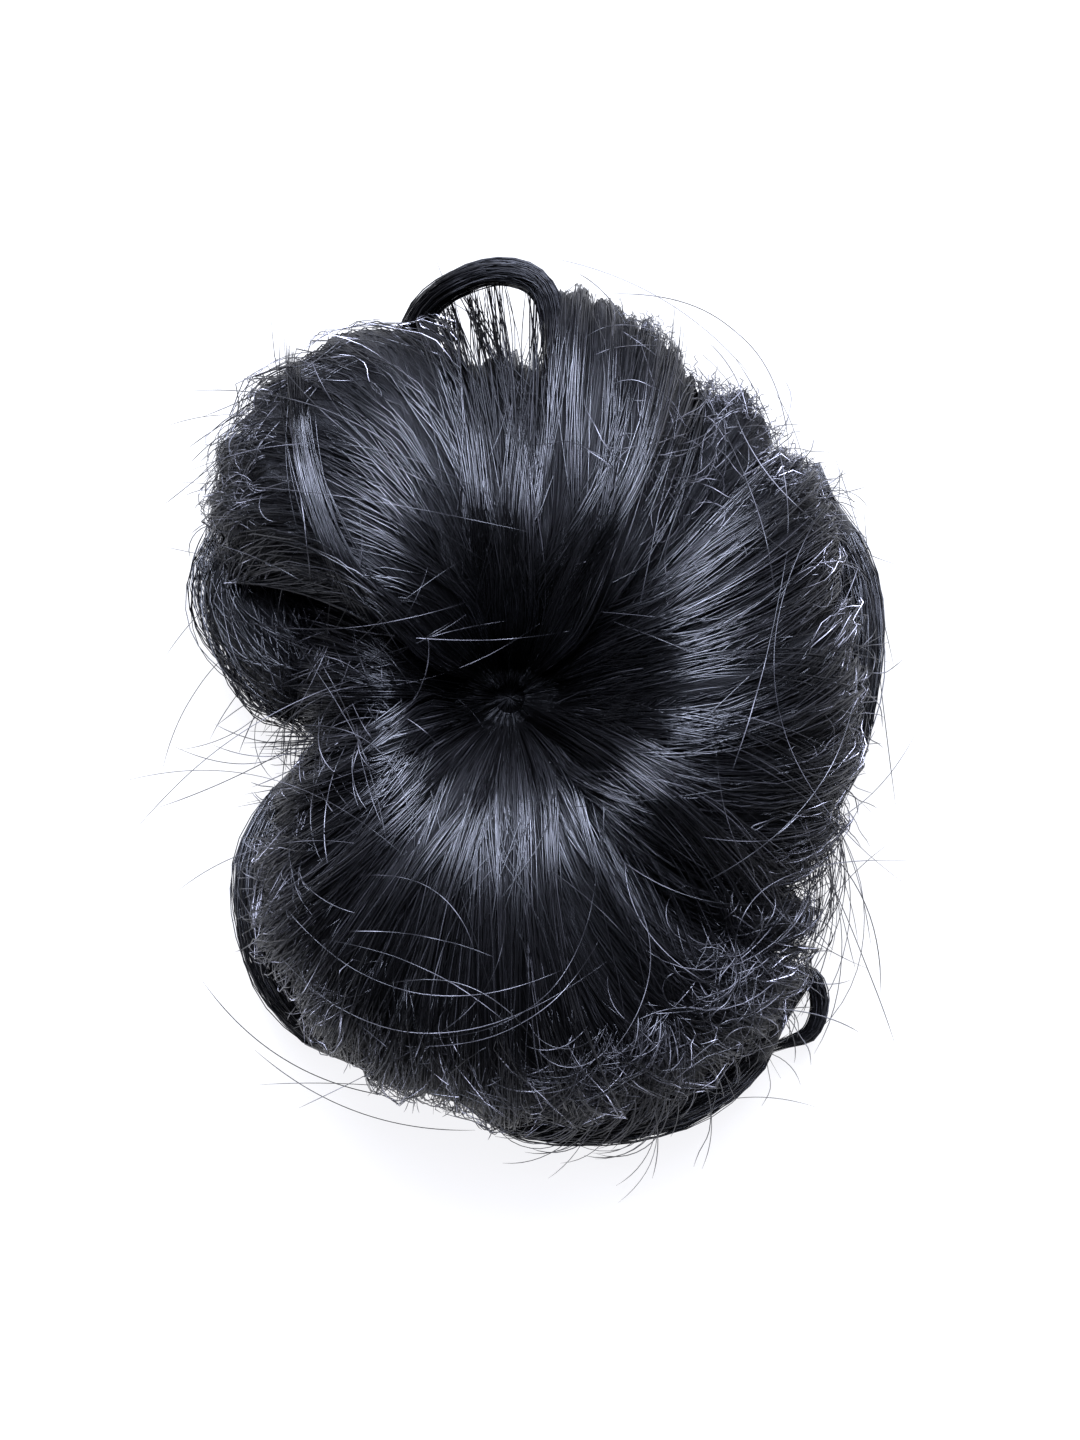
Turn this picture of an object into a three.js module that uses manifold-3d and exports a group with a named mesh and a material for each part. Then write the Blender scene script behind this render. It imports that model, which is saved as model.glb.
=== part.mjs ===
// A top-knot hairpiece: looped locks of black synthetic hair round a covered elastic band.
// Millimetres, +Z up. It lies on its underside, and the pit where all the roots meet opens upwards.
import * as THREE from "three";
import Module from "manifold-3d";

const wasm = await Module();
wasm.setup();
const { degToRad, lerp } = THREE.MathUtils;

// Driving dimensions
const rimRadius = 64; // from the pit's axis to the rim of a full lock
const crownHeight = 50; // top of the tallest lock above the surface
const pitHalfLength = 8.5; // the pit is oval, and longer along X
const pitHalfWidth = 4.2;
const throatRadius = 2.4; // where the roots meet at the bottom of the pit
const rootThickness = 4; // of the hair over the hollow below the pit
const bandInnerRadius = 18;
const bandWidth = 5;
const bandHeight = 5;
const bandRounding = 1.6;
const pocketSlope = 1; // of the wall round the outside of the band, from top to foot
const hollowHeight = 17; // top of the hollow that takes the wearer's own bun
const lockGap = 0.4; // between neighbouring locks
const seatGap = 0.3; // between the locks and the band
const grooveDepth = 1.1; // between the strand bundles of a lock
const rollEndWidth = 18;
const rollEndHeight = 25;
const rollHollowWidth = 10;
const rollHollowHeight = 28;
const rimLockWidth = 8;
const rimLockHeight = 15;
const loopWidth = 3.6;
const loopHeight = 9;
const curlWidth = 2.6;
const curlHeight = 4;

// Shape shares
const crestPlace = 0.48; // of a lock's reach, where it is tallest
const rimRise = 0.47; // of its crest, where it reaches furthest out
const rimFullness = 1.7; // exponent of the fall from the crest to there
const undercutPlace = 0.8; // of its reach, where its underside leaves the surface
const shoulderDrop = 0.22; // of its crest, at its creases
const shoulderTuck = 0.09; // of its reach, at its creases

// Facets
const innerSteps = 6;
const outerSteps = 6;
const stationsPerBundle = 4;
const tubeSides = 10;
const tubeSteps = 14;
const bandSegments = 36;
const bandCornerSteps = 2;

// The locks, anticlockwise from the notch. A row holds the angles of the lock's first crease at the pit,
// half way out and at the rim, in degrees from +X, how deep that crease is, where 1 is deepest, and how
// far the hair falls from the crest there to the pit. Then come shares: root of the hollow's radius, crest
// of crownHeight at the first and second crease, and the reach of rimRadius at the first crease, the
// middle and the second crease.
const locks = [
  {
    name: "lock_bottom_left",
    crease: { pit: 185, half: 194, rim: 196, depth: 0.7, fall: 0.45 },
    root: 0,
    crest: [0.78, 0.86],
    reach: [0.53, 0.62, 0.72],
    bundles: 2,
  },
  {
    name: "lock_bottom",
    crease: { pit: 210, half: 212, rim: 210, depth: 0.7, fall: 0.42 },
    root: 0,
    crest: [0.93, 0.99],
    reach: [0.76, 0.99, 1.06],
    bundles: 5,
  },
  {
    name: "lock_bottom_right",
    crease: { pit: 285, half: 280, rim: 282, depth: 0.15, fall: 0.38 },
    root: 0,
    crest: [0.95, 0.82],
    reach: [1.05, 1.06, 1.02],
    bundles: 3,
  },
  {
    name: "lock_lower_right",
    crease: { pit: 308, half: 306, rim: 318, depth: 0.6, fall: 0.38 },
    root: 0,
    crest: [0.78, 0.84],
    reach: [0.95, 0.95, 0.84],
    bundles: 2,
  },
  {
    name: "lock_right_low",
    crease: { pit: 320, half: 315, rim: 336, depth: 0.6, fall: 0.4 },
    root: 0,
    crest: [0.93, 1],
    reach: [0.9, 0.87, 0.89],
    bundles: 5,
  },
  {
    name: "lock_right_high",
    crease: { pit: 372, half: 376, rim: 387, depth: 0.4, fall: 0.48 },
    root: 0,
    crest: [0.97, 0.9],
    reach: [0.9, 0.94, 0.96],
    bundles: 2,
  },
  {
    name: "lock_right_back",
    crease: { pit: 391, half: 399, rim: 404, depth: 1, fall: 0.5 },
    root: 0.9,
    crest: [0.62, 0.62],
    reach: [0.98, 0.97, 0.97],
    bundles: 2,
  },
  {
    name: "lock_upper_right",
    crease: { pit: 391, half: 407, rim: 422, depth: 1, fall: 0.5 },
    root: 0,
    crest: [0.95, 1],
    reach: [0.98, 1.01, 1.08],
    bundles: 3,
  },
  {
    name: "lock_upper_middle",
    crease: { pit: 426, half: 437, rim: 443, depth: 0.6, fall: 0.55 },
    root: 0,
    crest: [0.95, 0.93],
    reach: [0.88, 0.85, 0.9],
    bundles: 2,
  },
  {
    name: "lock_upper_left",
    crease: { pit: 470, half: 463, rim: 461, depth: 0.35, fall: 0.55 },
    root: 0,
    crest: [0.97, 1],
    reach: [0.99, 0.985, 0.8],
    bundles: 5,
  },
  {
    name: "lock_left_short",
    crease: { pit: 515, half: 510, rim: 525, depth: 1, fall: 0.5 },
    root: 0,
    crest: [0.7, 0.66],
    reach: [0.62, 0.55, 0.54],
    bundles: 2,
  },
];
const fullTurn = 360;

function nextCrease(lock) {
  const place = locks.indexOf(lock) + 1;
  const { pit, half, rim, depth, fall } = locks[place % locks.length].crease;
  const turned = place < locks.length ? 0 : fullTurn;
  return { pit: pit + turned, half: half + turned, rim: rim + turned, depth, fall };
}

// Locks that lie round the rim. A point holds its angle in degrees, its distance out as a share of
// rimRadius, and the height of the lock's underside as a share of crownHeight. endShare is its size at
// the ends against its middle.
const rimLocks = [
  {
    name: "roll_end_left",
    width: rollEndWidth,
    height: rollEndHeight,
    endShare: 0.75,
    path: [
      { angle: 147, out: 0.75, lift: 0 },
      { angle: 156, out: 0.71, lift: 0 },
      { angle: 164, out: 0.625, lift: 0 },
      { angle: 172, out: 0.53, lift: 0 },
      { angle: 179, out: 0.46, lift: 0 },
    ],
  },
  {
    name: "rim_far_right",
    width: rimLockWidth,
    height: rimLockHeight,
    endShare: 0.35,
    path: [
      { angle: 33, out: 0.94, lift: 0.1 },
      { angle: 26, out: 0.925, lift: 0.04 },
      { angle: 17, out: 0.91, lift: 0 },
      { angle: 6, out: 0.875, lift: 0 },
      { angle: -5, out: 0.85, lift: 0 },
      { angle: -15, out: 0.83, lift: 0 },
      { angle: -24, out: 0.8, lift: 0 },
    ],
  },
  {
    name: "rim_bottom",
    width: rimLockWidth,
    height: rimLockHeight,
    endShare: 0.35,
    path: [
      { angle: 262, out: 1, lift: 0 },
      { angle: 271, out: 1.055, lift: 0 },
      { angle: 282, out: 1.08, lift: 0 },
      { angle: 293, out: 1.1, lift: 0 },
      { angle: 303, out: 1.09, lift: 0 },
      { angle: 311, out: 1.05, lift: 0 },
    ],
  },
  {
    name: "rim_left",
    width: rimLockWidth,
    height: rimLockHeight,
    endShare: 0.35,
    path: [
      { angle: 198, out: 0.53, lift: 0.04 },
      { angle: 205, out: 0.63, lift: 0 },
      { angle: 213, out: 0.75, lift: 0 },
      { angle: 222, out: 0.84, lift: 0 },
      { angle: 231, out: 0.92, lift: 0 },
      { angle: 240, out: 0.97, lift: 0 },
      { angle: 248, out: 0.99, lift: 0 },
    ],
  },
  {
    name: "loop_top",
    width: loopWidth,
    height: loopHeight,
    endShare: 0.8,
    path: [
      { angle: 108, out: 0.89, lift: 0.3 },
      { angle: 103, out: 0.985, lift: 0.36 },
      { angle: 98, out: 1.035, lift: 0.4 },
      { angle: 92.5, out: 1.06, lift: 0.42 },
      { angle: 87.5, out: 1.045, lift: 0.44 },
      { angle: 84.5, out: 0.99, lift: 0.46 },
      { angle: 83, out: 0.88, lift: 0.48 },
    ],
  },
  {
    name: "curl_lower_right",
    width: curlWidth,
    height: curlHeight,
    endShare: 0.5,
    path: [
      { angle: 308, out: 0.97, lift: 0.1 },
      { angle: 314, out: 0.985, lift: 0.1 },
      { angle: 317, out: 1.035, lift: 0.09 },
      { angle: 315.5, out: 1.1, lift: 0.08 },
      { angle: 312, out: 1.14, lift: 0.07 },
      { angle: 308.5, out: 1.12, lift: 0.06 },
    ],
  },
];

// The hollow along the top of that roll, where its hair parts.
const rollHollow = {
  width: rollHollowWidth,
  height: rollHollowHeight,
  endShare: 0.6,
  path: [
    { angle: 178, out: 0.485, lift: 0.16 },
    { angle: 170, out: 0.565, lift: 0.14 },
    { angle: 161, out: 0.64, lift: 0.16 },
  ],
};

const hairFinish = { color: 0x1b1b21, roughness: 0.34, metalness: 0 };
const bandFinish = { color: 0x141416, roughness: 0.85, metalness: 0 };

// Facets between each ring of points and the next, with both ends closed by the lid's triangles.
function loft(rings, lid) {
  const sides = rings[0].length;
  const faces = [];
  for (let ring = 0; ring < rings.length - 1; ring += 1) {
    for (let side = 0; side < sides; side += 1) {
      const here = ring * sides + side;
      const beside = ring * sides + ((side + 1) % sides);
      faces.push(here, beside, here + sides, beside, beside + sides, here + sides);
    }
  }
  const end = (rings.length - 1) * sides;
  lid.forEach(([a, b, c]) => faces.push(a, b, c, end + c, end + b, end + a));
  return new THREE.BufferGeometry().setFromPoints(rings.flat()).setIndex(faces);
}

function solidOf(geometry) {
  const vertProperties = geometry.getAttribute("position").array;
  const triVerts = new Uint32Array(geometry.getIndex().array);
  return new wasm.Manifold(new wasm.Mesh({ numProp: 3, vertProperties, triVerts }));
}

// What is left of a solid when others are cut from it, without any loose crumbs.
function cutBy(solid, cutters) {
  const bodies = cutters.reduce((rest, cutter) => rest.subtract(cutter), solid).decompose();
  const mesh = bodies.reduce((best, body) => (body.volume() > best.volume() ? body : best)).getMesh();
  const geometry = new THREE.BufferGeometry();
  geometry.setAttribute("position", new THREE.BufferAttribute(mesh.vertProperties, 3));
  return geometry.setIndex(new THREE.BufferAttribute(mesh.triVerts, 1));
}

function creaseAngle(crease, radius) {
  const share = radius / rimRadius;
  const pit = (1 - share) * (1 - 2 * share);
  const half = 4 * share * (1 - share);
  const rim = share * (2 * share - 1);
  return degToRad(crease.pit * pit + crease.half * half + crease.rim * rim);
}

// A lock's reach at a share of the way from its first crease to its second.
function reachAt([first, middle, last], across) {
  const bulge = middle - (first + last) / 2;
  return rimRadius * (lerp(first, last, across) + 4 * bulge * across * (1 - across));
}

// The height of the domed hollow that takes the wearer's own bun.
function hollowTop(radius) {
  const dome = Math.sqrt(1 - Math.min(1, radius / bandInnerRadius) ** 2);
  return lerp(bandHeight + seatGap, hollowHeight, dome);
}

// Distance from the axis to the edge of the oval pit.
function pitEdge(angle) {
  return 1 / Math.hypot(Math.cos(angle) / pitHalfLength, Math.sin(angle) / pitHalfWidth);
}

// Heights of a lock's upper skin at a share of the way from the pit's edge to its reach, and of its
// under skin at a share of its reach, as shares of its crest.
function upperSkin(share, pitFall) {
  if (share < crestPlace) {
    const inward = Math.min(1, 1 - share / crestPlace);
    return 1 - pitFall * inward ** 2;
  }
  const outward = Math.min(1, (share - crestPlace) / (1 - crestPlace));
  return lerp(rimRise, 1, Math.sqrt(1 - outward ** rimFullness));
}

function underSkin(share) {
  const rise = Math.max(0, (share - undercutPlace) / (1 - undercutPlace));
  return rimRise * (1 - Math.sqrt(1 - Math.min(1, rise) ** 2));
}

// A lock's section in the plane through the pit's axis, as points (distance out, height): out over the
// top, round the rim and back under, past the band and the hollow. `across` runs from crease to crease.
function lockSection(lock, across, grow) {
  const next = nextCrease(lock);
  const dip = (1 - Math.sqrt(1 - (2 * across - 1) ** 2)) * lerp(lock.crease.depth, next.depth, across);
  const pitFall = lerp(lock.crease.fall, next.fall, across);
  const groove = (grooveDepth * (1 - Math.cos(2 * Math.PI * lock.bundles * across))) / 2;
  const reach = reachAt(lock.reach, across) * (1 - shoulderTuck * dip) - groove + grow;
  const crestHere = crownHeight * lerp(...lock.crest, across);
  const crest = crestHere * (1 - shoulderDrop * dip) - groove + grow;
  const rootRadius = Math.max(throatRadius, lock.root * bandInnerRadius);
  const bandClear = bandInnerRadius + bandWidth + seatGap;
  const wallFoot = bandClear + pocketSlope;

  const upper = [];
  const under = [];
  const column = (out, bottom) => {
    const roof = out < wallFoot ? hollowTop(out) + rootThickness : 0;
    const pit = pitEdge(lerp(creaseAngle(lock.crease, out), creaseAngle(next, out), across));
    const height = crest * upperSkin((out - pit) / (reach - pit), pitFall);
    upper.push(new THREE.Vector2(out, Math.max(roof, height)));
    under.unshift(new THREE.Vector2(out, bottom - grow));
  };
  for (let step = 0; step <= innerSteps; step += 1) {
    const out = lerp(rootRadius, bandInnerRadius, Math.sqrt(step / innerSteps));
    column(out, hollowTop(out));
  }
  column(bandClear, bandHeight + seatGap);
  column(wallFoot, 0);
  for (let step = 1; step < outerSteps; step += 1) {
    const out = lerp(wallFoot, reach, Math.sin((Math.PI / 2) * (step / outerSteps)));
    column(out, crest * underSkin(out / reach));
  }
  return [...upper, new THREE.Vector2(reach, crest * rimRise), ...under];
}

function rolledLock(lock, grow = 0) {
  const next = nextCrease(lock);
  const stations = lock.bundles * stationsPerBundle;
  const rings = Array.from({ length: stations + 1 }, (_, station) => {
    const across = station / stations;
    return lockSection(lock, across, grow).map(({ x: out, y: height }) => {
      const clear = (lockGap / 2 - grow) / out;
      const angle = lerp(creaseAngle(lock.crease, out) + clear, creaseAngle(next, out) - clear, across);
      return new THREE.Vector3(out * Math.cos(angle), out * Math.sin(angle), height);
    });
  });
  // The end faces are upright strips, so that they keep to the crease.
  const last = rings[0].length - 1;
  const lid = [[last / 2 - 1, last / 2 + 1, last / 2]];
  for (let step = 0; step < last / 2 - 1; step += 1) {
    lid.push([last - step, last - step - 1, step + 1], [last - step, step + 1, step]);
  }
  return loft(rings, lid);
}

// A lock of oval section along a row's path.
function tube(row) {
  const path = new THREE.CatmullRomCurve3(
    row.path.map(({ angle, out, lift }) => {
      const turn = degToRad(angle);
      const radius = out * rimRadius;
      return new THREE.Vector3(radius * Math.cos(turn), radius * Math.sin(turn), lift * crownHeight);
    }),
  );
  const rings = Array.from({ length: tubeSteps + 1 }, (_, step) => {
    const share = step / tubeSteps;
    const along = path.getTangent(share);
    const left = new THREE.Vector3(-along.y, along.x, 0).normalize();
    const size = lerp(row.endShare, 1, Math.sqrt(Math.sin(Math.PI * share)));
    const centre = path.getPoint(share);
    return Array.from({ length: tubeSides }, (_, side) => {
      const turn = (2 * Math.PI * side) / tubeSides;
      const point = centre.clone().addScaledVector(left, (size * row.width * Math.cos(turn)) / 2);
      return point.setZ(centre.z + (size * row.height * (1 + Math.sin(turn))) / 2);
    });
  });
  const lid = Array.from({ length: tubeSides - 2 }, (_, side) => [0, side + 2, side + 1]);
  return loft(rings, lid);
}

function elasticBand() {
  const corner = (across, up, start) =>
    Array.from({ length: bandCornerSteps + 1 }, (_, step) => {
      const turn = start + (Math.PI / 2) * (step / bandCornerSteps);
      return new THREE.Vector2(across + bandRounding * Math.cos(turn), up + bandRounding * Math.sin(turn));
    });
  const inner = bandInnerRadius + bandRounding;
  const outer = bandInnerRadius + bandWidth - bandRounding;
  const profile = [
    ...corner(outer, bandRounding, -Math.PI / 2),
    ...corner(outer, bandHeight - bandRounding, 0),
    ...corner(inner, bandHeight - bandRounding, Math.PI / 2),
    ...corner(inner, bandRounding, Math.PI),
  ];
  profile.push(profile[0].clone());
  return new THREE.LatheGeometry(profile, bandSegments).rotateX(Math.PI / 2);
}

function named(name, geometry, finish) {
  geometry.computeVertexNormals();
  const mesh = new THREE.Mesh(geometry, new THREE.MeshStandardMaterial(finish));
  mesh.name = name;
  return mesh;
}

const hairpiece = new THREE.Group();
hairpiece.add(named("elastic_band", elasticBand(), bandFinish));
locks.forEach((lock) => hairpiece.add(named(lock.name, rolledLock(lock), hairFinish)));
const grown = locks.map((lock) => solidOf(rolledLock(lock, lockGap)));
rimLocks.forEach((row) => {
  const cutters = row.name === "roll_end_left" ? [...grown, solidOf(tube(rollHollow))] : grown;
  hairpiece.add(named(row.name, cutBy(solidOf(tube(row)), cutters), hairFinish));
});

// The origin is on the surface, under the middle of the whole piece.
const extent = new THREE.Box3().setFromObject(hairpiece);
const centre = extent.getCenter(new THREE.Vector3());
hairpiece.position.set(-centre.x, -centre.y, -extent.min.z);

export default hairpiece;
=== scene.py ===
import bpy
import numpy as np
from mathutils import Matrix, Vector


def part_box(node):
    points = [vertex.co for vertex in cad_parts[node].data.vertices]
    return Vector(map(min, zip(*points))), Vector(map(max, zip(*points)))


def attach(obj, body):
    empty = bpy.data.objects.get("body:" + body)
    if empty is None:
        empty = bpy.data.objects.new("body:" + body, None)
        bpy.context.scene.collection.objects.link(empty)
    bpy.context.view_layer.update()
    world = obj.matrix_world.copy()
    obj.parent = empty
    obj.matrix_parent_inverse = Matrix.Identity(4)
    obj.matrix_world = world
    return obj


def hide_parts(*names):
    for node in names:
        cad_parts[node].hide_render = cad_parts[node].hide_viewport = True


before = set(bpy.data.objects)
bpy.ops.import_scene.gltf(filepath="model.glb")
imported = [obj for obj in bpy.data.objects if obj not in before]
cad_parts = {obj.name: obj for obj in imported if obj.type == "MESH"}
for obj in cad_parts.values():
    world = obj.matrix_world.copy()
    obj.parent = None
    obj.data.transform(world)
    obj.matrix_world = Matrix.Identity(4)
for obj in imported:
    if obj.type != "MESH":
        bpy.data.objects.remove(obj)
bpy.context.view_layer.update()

# Elastic band. A ring of flat elastic in a black knitted cover holds all the roots, and goes round the
# wearer's own bun. The cover is longer than the elastic, so it puckers all the way round.
band_low, band_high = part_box("elastic_band")
pit = (band_low + band_high) / 2
band_thick = band_high.z - band_low.z
band_radius = (band_high.x - band_low.x - band_thick) / 2
PUCKERS = 61
PUCKER_DEPTH = 0.045
KNIT_STITCHES = 1500  # to a metre

bpy.ops.object.select_all(action="DESELECT")
bpy.ops.mesh.primitive_torus_add(
    location=pit,
    major_segments=288,
    minor_segments=24,
    major_radius=band_radius,
    minor_radius=band_thick / 2,
)
band = bpy.context.object
band.name = "band_cover"
bpy.ops.object.transform_apply(location=True, rotation=False, scale=False)
for vertex in band.data.vertices:
    around = np.arctan2(vertex.co.y - pit.y, vertex.co.x - pit.x)
    pucker = 1 - PUCKER_DEPTH * (1 + np.sin(PUCKERS * around + 2 * np.sin(5 * around)))
    ring = pit.copy()
    ring.x += band_radius * np.cos(around)
    ring.y += band_radius * np.sin(around)
    vertex.co = ring + (vertex.co - ring) * pucker
bpy.ops.object.shade_smooth()

knit = bpy.data.materials.new("black_knit")
knit.use_nodes = True
nodes, links = knit.node_tree.nodes, knit.node_tree.links
shader = nodes["Principled BSDF"]
shader.inputs["Roughness"].default_value = 0.85
shader.inputs["Sheen Weight"].default_value = 0.25
shader.inputs["Sheen Roughness"].default_value = 0.5
places = nodes.new("ShaderNodeTexCoord")
ribs = nodes.new("ShaderNodeTexVoronoi")
ribs.inputs["Scale"].default_value = KNIT_STITCHES
ramp = nodes.new("ShaderNodeValToRGB")
ramp.color_ramp.elements[0].color = (0.004, 0.004, 0.005, 1)
ramp.color_ramp.elements[1].color = (0.022, 0.022, 0.026, 1)
bump = nodes.new("ShaderNodeBump")
bump.inputs["Strength"].default_value = 0.6
bump.inputs["Distance"].default_value = 0.0003
links.new(places.outputs["Object"], ribs.inputs["Vector"])
links.new(ribs.outputs["Distance"], ramp.inputs["Fac"])
links.new(ramp.outputs["Color"], shader.inputs["Base Color"])
links.new(ribs.outputs["Distance"], bump.inputs["Height"])
links.new(bump.outputs["Normal"], shader.inputs["Normal"])
band.data.materials.append(knit)
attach(band, "root")
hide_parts("elastic_band")

# Black fibre. Every lock and every loose strand is the same glossy synthetic fibre. Its tone and gloss
# run in fine streaks along the strands, and across them they change from fibre to fibre. The lightest
# tones of the loose fibre, tips and fringe are painted glints, and the roots are painted near black as
# shade.
STRAND_MAP = "OFBake"
TONES_ALONG = 2.2  # changes of tone along one strand
BLUE_CAST = 1.25  # blue of the fibre as a multiple of its red
FIBRE_SHEEN = (0.8, 0.83, 1.0, 1)
# Painted shade: the near-black colour that each fibre has at its roots.
ROOT_SHADE_COLOUR = (0.001, 0.001, 0.0012, 1)
ROOT_ROUGHNESS = 0.12


def black_fibre(name, streaks, streak_depth, shine, gloss_range, root, tones):
    """Streaks is how often the tone changes from strand to strand, and streak_depth how deep it lies, in
    metres. The gloss range runs from the roughness of the dullest fibres to that of the glossiest. Root
    is the stretch, along the strand, over which the glossy roots, painted near black as shade, turn into
    loose fibre. Tones are (place in the streak pattern, brightness)."""
    fibre = bpy.data.materials.new(name)
    fibre.use_nodes = True
    nodes, links = fibre.node_tree.nodes, fibre.node_tree.links
    shader = nodes["Principled BSDF"]
    shader.inputs["IOR"].default_value = 1.5
    shader.inputs["Specular IOR Level"].default_value = shine
    shader.inputs["Specular Tint"].default_value = FIBRE_SHEEN
    places = nodes.new("ShaderNodeUVMap")
    places.uv_map = STRAND_MAP
    stretch = nodes.new("ShaderNodeMapping")
    stretch.inputs["Scale"].default_value = (streaks, TONES_ALONG, 1)
    streak = nodes.new("ShaderNodeTexNoise")
    streak.inputs["Scale"].default_value = 1
    streak.inputs["Detail"].default_value = 4
    streak.inputs["Roughness"].default_value = 0.62
    tone = nodes.new("ShaderNodeValToRGB")
    while len(tone.color_ramp.elements) < len(tones):
        tone.color_ramp.elements.new(0.5)
    for stop, (place, bright) in zip(tone.color_ramp.elements, tones):
        stop.position = place
        stop.color = (bright, bright, bright * BLUE_CAST, 1)
    gloss = nodes.new("ShaderNodeMapRange")
    gloss.inputs["From Min"].default_value = 0.35
    gloss.inputs["From Max"].default_value = 0.65
    gloss.inputs["To Min"].default_value, gloss.inputs["To Max"].default_value = gloss_range
    links.new(places.outputs["UV"], stretch.inputs["Vector"])
    links.new(stretch.outputs["Vector"], streak.inputs["Vector"])
    links.new(streak.outputs["Fac"], tone.inputs["Fac"])
    links.new(streak.outputs["Fac"], gloss.inputs["Value"])
    # Painted shade: along the root stretch the colour runs from near black to the fibre's tones.
    apart = nodes.new("ShaderNodeSeparateXYZ")
    root_shade_mask = nodes.new("ShaderNodeMapRange")
    root_shade_mask.interpolation_type = "SMOOTHSTEP"
    root_shade_mask.inputs["From Min"].default_value, root_shade_mask.inputs["From Max"].default_value = root
    base = nodes.new("ShaderNodeMix")
    base.data_type = "RGBA"
    base.inputs["A"].default_value = ROOT_SHADE_COLOUR
    rough = nodes.new("ShaderNodeMix")
    rough.inputs["A"].default_value = ROOT_ROUGHNESS
    links.new(places.outputs["UV"], apart.inputs["Vector"])
    links.new(apart.outputs["Y"], root_shade_mask.inputs["Value"])
    for mix in (base, rough):
        links.new(root_shade_mask.outputs["Result"], mix.inputs["Factor"])
    links.new(tone.outputs["Color"], base.inputs["B"])
    links.new(gloss.outputs["Result"], rough.inputs["B"])
    links.new(base.outputs["Result"], shader.inputs["Base Color"])
    links.new(rough.outputs["Result"], shader.inputs["Roughness"])
    if streak_depth:
        bump = nodes.new("ShaderNodeBump")
        bump.inputs["Strength"].default_value = 1
        bump.inputs["Distance"].default_value = streak_depth
        links.new(streak.outputs["Fac"], bump.inputs["Height"])
        links.new(bump.outputs["Normal"], shader.inputs["Normal"])
    return fibre


packed_fibre = black_fibre(
    "black_fibre_packed", streaks=420, streak_depth=0.0006, shine=0.17, gloss_range=(0.5, 0.3),
    root=(0.04, 0.14), tones=[(0.35, 0.001), (0.7, 0.004)])
deep_fibre = black_fibre(
    "black_fibre_deep", streaks=60, streak_depth=0, shine=0.16, gloss_range=(0.5, 0.28),
    root=(0.24, 0.4), tones=[(0.4, 0.001), (0.7, 0.006)])
# Painted glints: the lightest tone makes a few strands shine; the darker tones differ at random.
loose_fibre = black_fibre(
    "black_fibre_loose", streaks=60, streak_depth=0, shine=0.42, gloss_range=(0.42, 0.13),
    root=(0.22, 0.38), tones=[(0.4, 0.0006), (0.54, 0.0015), (0.6, 0.008), (0.68, 0.035)])
# Painted glints: the lightest tone makes the loose tips and crossing fibres shine.
tip_glint_fibre = black_fibre(
    "black_fibre_tips_glints", streaks=60, streak_depth=0, shine=0.36, gloss_range=(0.4, 0.2),
    root=(0, 0.1), tones=[(0.42, 0.001), (0.52, 0.008), (0.62, 0.11)])

# Rolled locks. Each is a thick tress of that fibre, sewn to the band by its root, that comes up out of
# the pit, rolls over the rim and tucks back under. They are packed side by side like petals.
RIM = 0.064
CROWN = 0.05
PIT_LONG = 0.0085
PIT_WIDE = 0.0042
THROAT = 0.0024
HOLLOW = 0.018
HOLLOW_HEIGHT = 0.017
ROOT_THICK = 0.004
BAND_CLEAR = 0.0233
BAND_TOP = 0.0053
GROOVE = 0.0011
CREST_PLACE = 0.43
RIM_RISE = 0.47
RIM_FULLNESS = 1.18
PIT_FULLNESS = 0.8
SKIN_FULLNESS = 1.7
UNDERCUT = 0.8
CREASE_DROP = 0.22
CREASE_TUCK = 0.09
CREASE_GAP = 0.0001
MID_OUT = 0.036
AIM_OUT = 0.02
CLUMP_WIDTH = 0.0034
CLUMP_DEPTH = 0.0019
CLUMP_WAVE = 0.0004
STATIONS_PER_BUNDLE = 22
TURN_STEPS = 55
FULL_BUNDLES = 5

# Each lock, anticlockwise from the notch, opens with its first crease: its angles at the pit, half way
# and at the rim, how deep it is, and how far the hair falls from there to the pit. Then come the root,
# the crest at both creases, the reach at the first crease, the middle and the second crease, the number
# of strand bundles, and how far its hair sweeps round at the rim.
COLUMNS = (
    "pit", "half", "rim", "depth", "fall", "root", "crest", "crest_after", "reach", "reach_middle",
    "reach_after", "bundles", "sweep",
)
ROWS = {
    "lock_bottom_left": (185, 194, 196, 0.7, 0.45, 0, 0.78, 0.86, 0.53, 0.62, 0.72, 2, 0.001),
    "lock_bottom": (210, 212, 210, 0.7, 0.42, 0, 0.93, 0.99, 0.76, 0.99, 1.06, 5, 0.001),
    "lock_bottom_right": (285, 280, 282, 0.15, 0.38, 0, 0.95, 0.82, 1.05, 1.06, 1.02, 3, 0.004),
    "lock_lower_right": (308, 306, 318, 0.6, 0.38, 0, 0.78, 0.84, 0.95, 0.95, 0.84, 2, 0.004),
    "lock_right_low": (320, 315, 336, 0.6, 0.4, 0, 0.93, 1, 0.9, 0.87, 0.89, 5, 0.006),
    "lock_right_high": (372, 376, 387, 0.4, 0.48, 0, 0.97, 0.9, 0.9, 0.94, 0.96, 2, -0.004),
    "lock_right_back": (391, 399, 404, 1, 0.5, 0.9, 0.62, 0.62, 0.98, 0.97, 0.97, 2, -0.003),
    "lock_upper_right": (391, 407, 422, 1, 0.5, 0, 0.95, 1, 0.98, 1.01, 1.08, 3, -0.004),
    "lock_upper_middle": (426, 437, 443, 0.6, 0.55, 0, 0.95, 0.93, 0.88, 0.85, 0.9, 2, 0.001),
    "lock_upper_left": (470, 463, 461, 0.35, 0.55, 0, 0.97, 1, 0.99, 0.985, 0.8, 5, 0.016),
    "lock_left_short": (515, 510, 525, 1, 0.5, 0, 0.7, 0.66, 0.62, 0.55, 0.54, 2, -0.002),
}
LOCKS = {name: dict(zip(COLUMNS, row)) for name, row in ROWS.items()}
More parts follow.
